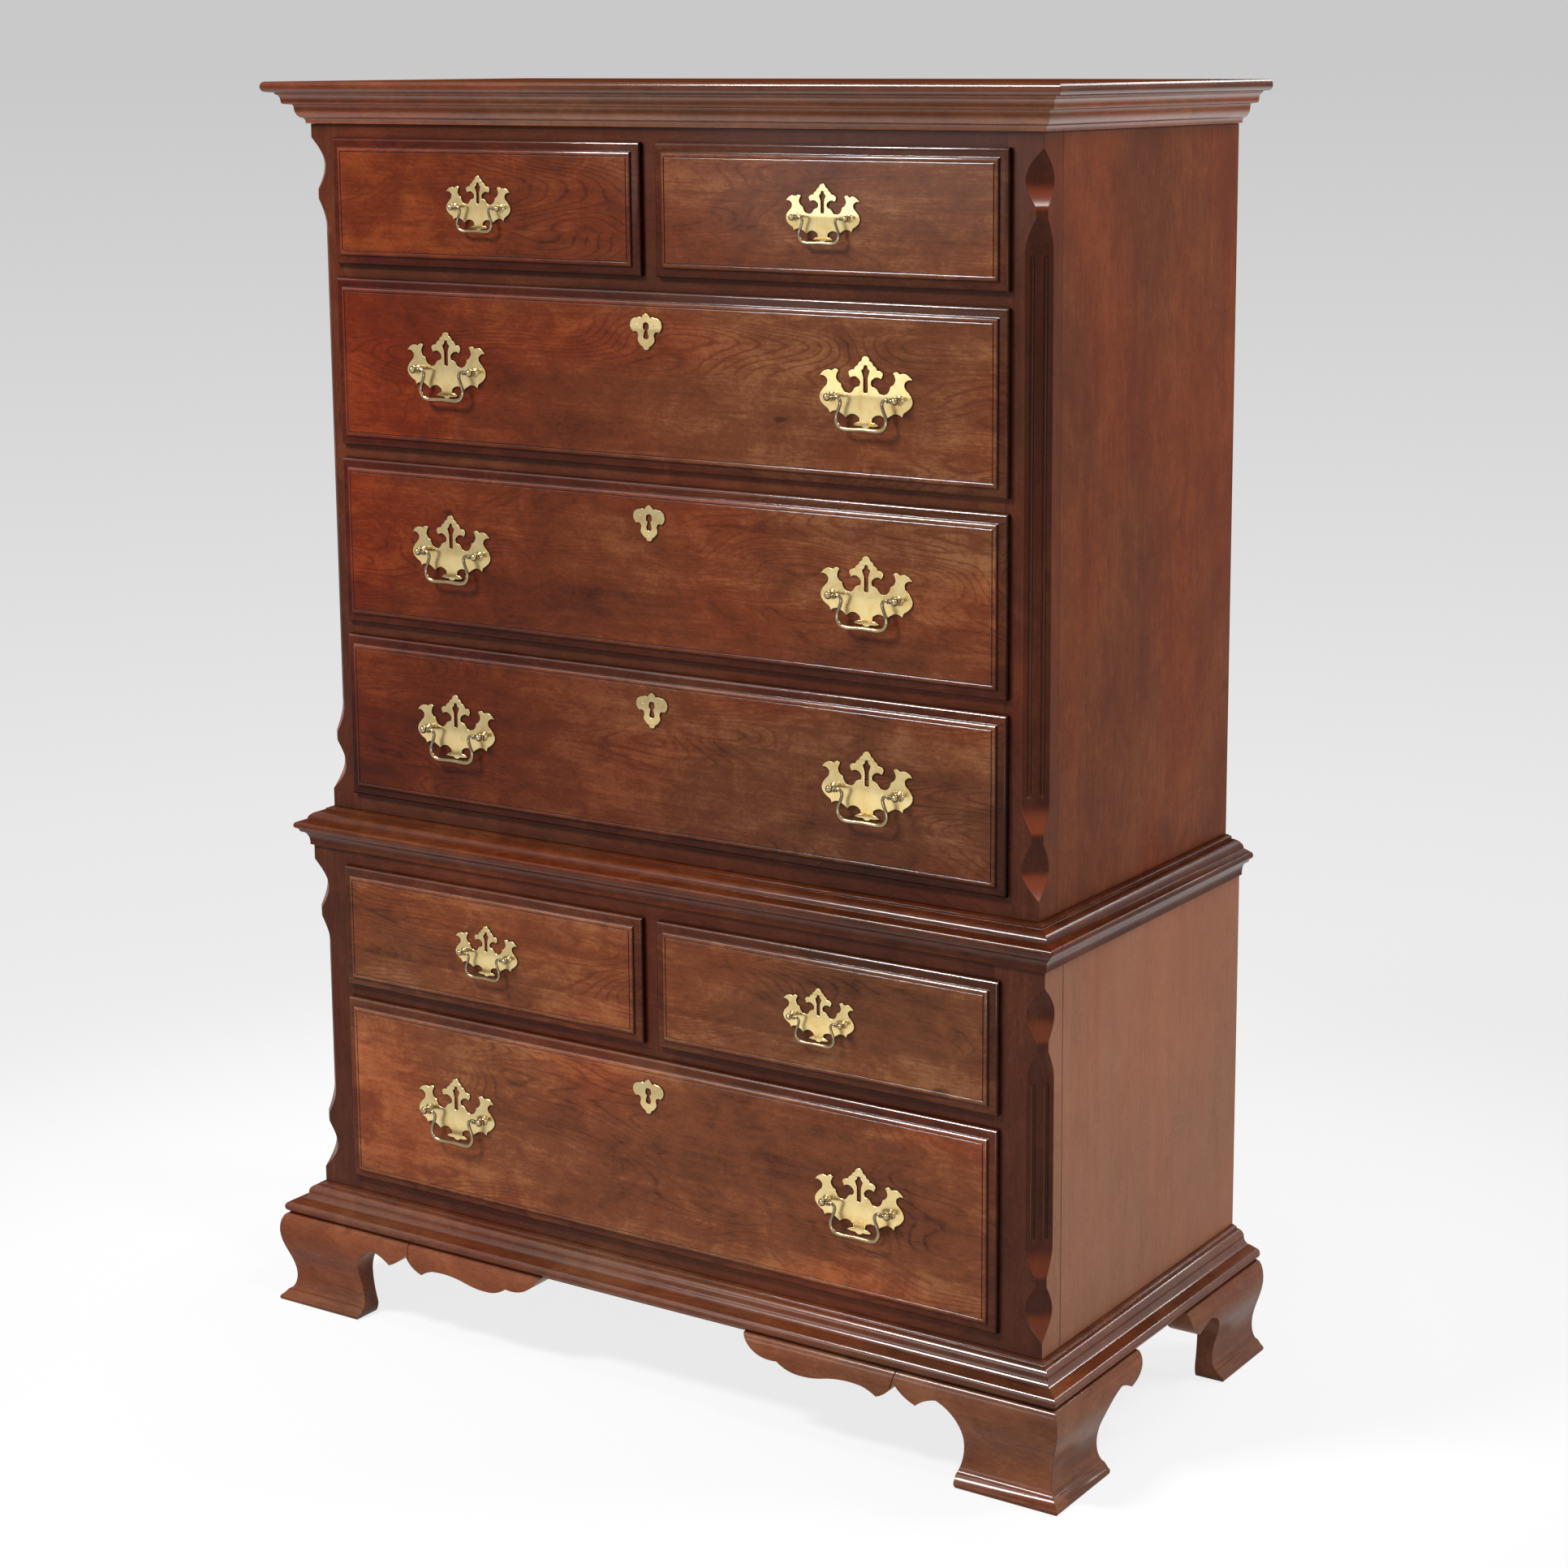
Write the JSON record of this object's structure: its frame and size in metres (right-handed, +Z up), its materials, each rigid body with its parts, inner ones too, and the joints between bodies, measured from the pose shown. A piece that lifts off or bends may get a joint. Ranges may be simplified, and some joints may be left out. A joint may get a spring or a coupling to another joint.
{
  "type": "chest-on-chest",
  "caption": "Tall chest of drawers in an upper and a lower case, on ogee bracket feet, with canted fluted corners and pierced brass pulls, for keeping clothes.",
  "frame": {"origin": "middle of the chest's footprint, on the floor under its feet", "axes": "+Z up, the drawer fronts face -Y, +X to the viewer's right"},
  "size_m": [1.086, 0.5, 1.47],
  "materials": {
    "cherry": "satin lacquered dark reddish-brown cherry",
    "cherry_fronts": "satin lacquered dark reddish-brown cherry, grain across",
    "drawer_wood": "plain pale secondary wood",
    "back_wood": "plain secondary wood",
    "brass": "polished and slightly toned"
  },
  "bodies": {
    "case": {"base_moulding": "cherry", "cornice": "cherry", "foot_front_left": "cherry", "foot_front_right": "cherry", "foot_rear_left": "cherry", "foot_rear_right": "cherry", "lower_back": "back_wood", "lower_face_frame": "cherry", "lower_side_left": "cherry", "lower_side_right": "cherry", "upper_back": "back_wood", "upper_face_frame": "cherry", "upper_side_left": "cherry", "upper_side_right": "cherry", "waist_moulding": "cherry"},
    "lower_row2": {"lower_row2_box": "drawer_wood", "lower_row2_escutcheon": "brass", "lower_row2_front": "cherry_fronts", "lower_row2_left_plate": "brass", "lower_row2_right_plate": "brass"},
    "lower_row2_left_bail": {"lower_row2_left_bail": "brass"},
    "lower_row2_right_bail": {"lower_row2_right_bail": "brass"},
    "lower_top_left": {"lower_top_left_box": "drawer_wood", "lower_top_left_front": "cherry_fronts", "lower_top_left_plate": "brass"},
    "lower_top_left_bail": {"lower_top_left_bail": "brass"},
    "lower_top_right": {"lower_top_right_box": "drawer_wood", "lower_top_right_front": "cherry_fronts", "lower_top_right_plate": "brass"},
    "lower_top_right_bail": {"lower_top_right_bail": "brass"},
    "upper_row2": {"upper_row2_box": "drawer_wood", "upper_row2_escutcheon": "brass", "upper_row2_front": "cherry_fronts", "upper_row2_left_plate": "brass", "upper_row2_right_plate": "brass"},
    "upper_row2_left_bail": {"upper_row2_left_bail": "brass"},
    "upper_row2_right_bail": {"upper_row2_right_bail": "brass"},
    "upper_row3": {"upper_row3_box": "drawer_wood", "upper_row3_escutcheon": "brass", "upper_row3_front": "cherry_fronts", "upper_row3_left_plate": "brass", "upper_row3_right_plate": "brass"},
    "upper_row3_left_bail": {"upper_row3_left_bail": "brass"},
    "upper_row3_right_bail": {"upper_row3_right_bail": "brass"},
    "upper_row4": {"upper_row4_box": "drawer_wood", "upper_row4_escutcheon": "brass", "upper_row4_front": "cherry_fronts", "upper_row4_left_plate": "brass", "upper_row4_right_plate": "brass"},
    "upper_row4_left_bail": {"upper_row4_left_bail": "brass"},
    "upper_row4_right_bail": {"upper_row4_right_bail": "brass"},
    "upper_top_left": {"upper_top_left_box": "drawer_wood", "upper_top_left_front": "cherry_fronts", "upper_top_left_plate": "brass"},
    "upper_top_left_bail": {"upper_top_left_bail": "brass"},
    "upper_top_right": {"upper_top_right_box": "drawer_wood", "upper_top_right_front": "cherry_fronts", "upper_top_right_plate": "brass"},
    "upper_top_right_bail": {"upper_top_right_bail": "brass"}
  },
  "joints": [
    {"name": "lower_row2_slide", "type": "slide", "parent": "case", "child": "lower_row2", "axis": [0, -1, 0], "range_m": [0, 0.3]},
    {"name": "lower_row2_left_bail_swing", "type": "hinge", "parent": "lower_row2", "child": "lower_row2_left_bail", "pos_m": [-0.28, -0.2281, 0.27615], "axis": [-1, 0, 0], "range_deg": [0, 100]},
    {"name": "lower_row2_right_bail_swing", "type": "hinge", "parent": "lower_row2", "child": "lower_row2_right_bail", "pos_m": [0.28, -0.2281, 0.27615], "axis": [-1, 0, 0], "range_deg": [0, 100]},
    {"name": "lower_top_left_slide", "type": "slide", "parent": "case", "child": "lower_top_left", "axis": [0, -1, 0], "range_m": [0, 0.3]},
    {"name": "lower_top_left_bail_swing", "type": "hinge", "parent": "lower_top_left", "child": "lower_top_left_bail", "pos_m": [-0.229, -0.22636, 0.47765], "axis": [-1, 0, 0], "range_deg": [0, 100]},
    {"name": "lower_top_right_slide", "type": "slide", "parent": "case", "child": "lower_top_right", "axis": [0, -1, 0], "range_m": [0, 0.3]},
    {"name": "lower_top_right_bail_swing", "type": "hinge", "parent": "lower_top_right", "child": "lower_top_right_bail", "pos_m": [0.229, -0.22636, 0.47765], "axis": [-1, 0, 0], "range_deg": [0, 100]},
    {"name": "upper_row2_slide", "type": "slide", "parent": "case", "child": "upper_row2", "axis": [0, -1, 0], "range_m": [0, 0.3]},
    {"name": "upper_row2_left_bail_swing", "type": "hinge", "parent": "upper_row2", "child": "upper_row2_left_bail", "pos_m": [-0.28, -0.2101, 1.14885], "axis": [-1, 0, 0], "range_deg": [0, 100]},
    {"name": "upper_row2_right_bail_swing", "type": "hinge", "parent": "upper_row2", "child": "upper_row2_right_bail", "pos_m": [0.28, -0.2101, 1.14885], "axis": [-1, 0, 0], "range_deg": [0, 100]},
    {"name": "upper_row3_slide", "type": "slide", "parent": "case", "child": "upper_row3", "axis": [0, -1, 0], "range_m": [0, 0.3]},
    {"name": "upper_row3_left_bail_swing", "type": "hinge", "parent": "upper_row3", "child": "upper_row3_left_bail", "pos_m": [-0.28, -0.2101, 0.94035], "axis": [-1, 0, 0], "range_deg": [0, 100]},
    {"name": "upper_row3_right_bail_swing", "type": "hinge", "parent": "upper_row3", "child": "upper_row3_right_bail", "pos_m": [0.28, -0.2101, 0.94035], "axis": [-1, 0, 0], "range_deg": [0, 100]},
    {"name": "upper_row4_slide", "type": "slide", "parent": "case", "child": "upper_row4", "axis": [0, -1, 0], "range_m": [0, 0.3]},
    {"name": "upper_row4_left_bail_swing", "type": "hinge", "parent": "upper_row4", "child": "upper_row4_left_bail", "pos_m": [-0.28, -0.2101, 0.73185], "axis": [-1, 0, 0], "range_deg": [0, 100]},
    {"name": "upper_row4_right_bail_swing", "type": "hinge", "parent": "upper_row4", "child": "upper_row4_right_bail", "pos_m": [0.28, -0.2101, 0.73185], "axis": [-1, 0, 0], "range_deg": [0, 100]},
    {"name": "upper_top_left_slide", "type": "slide", "parent": "case", "child": "upper_top_left", "axis": [0, -1, 0], "range_m": [0, 0.3]},
    {"name": "upper_top_left_bail_swing", "type": "hinge", "parent": "upper_top_left", "child": "upper_top_left_bail", "pos_m": [-0.228, -0.20836, 1.3326], "axis": [-1, 0, 0], "range_deg": [0, 100]},
    {"name": "upper_top_right_slide", "type": "slide", "parent": "case", "child": "upper_top_right", "axis": [0, -1, 0], "range_m": [0, 0.3]},
    {"name": "upper_top_right_bail_swing", "type": "hinge", "parent": "upper_top_right", "child": "upper_top_right_bail", "pos_m": [0.228, -0.20836, 1.3326], "axis": [-1, 0, 0], "range_deg": [0, 100]}
  ]
}
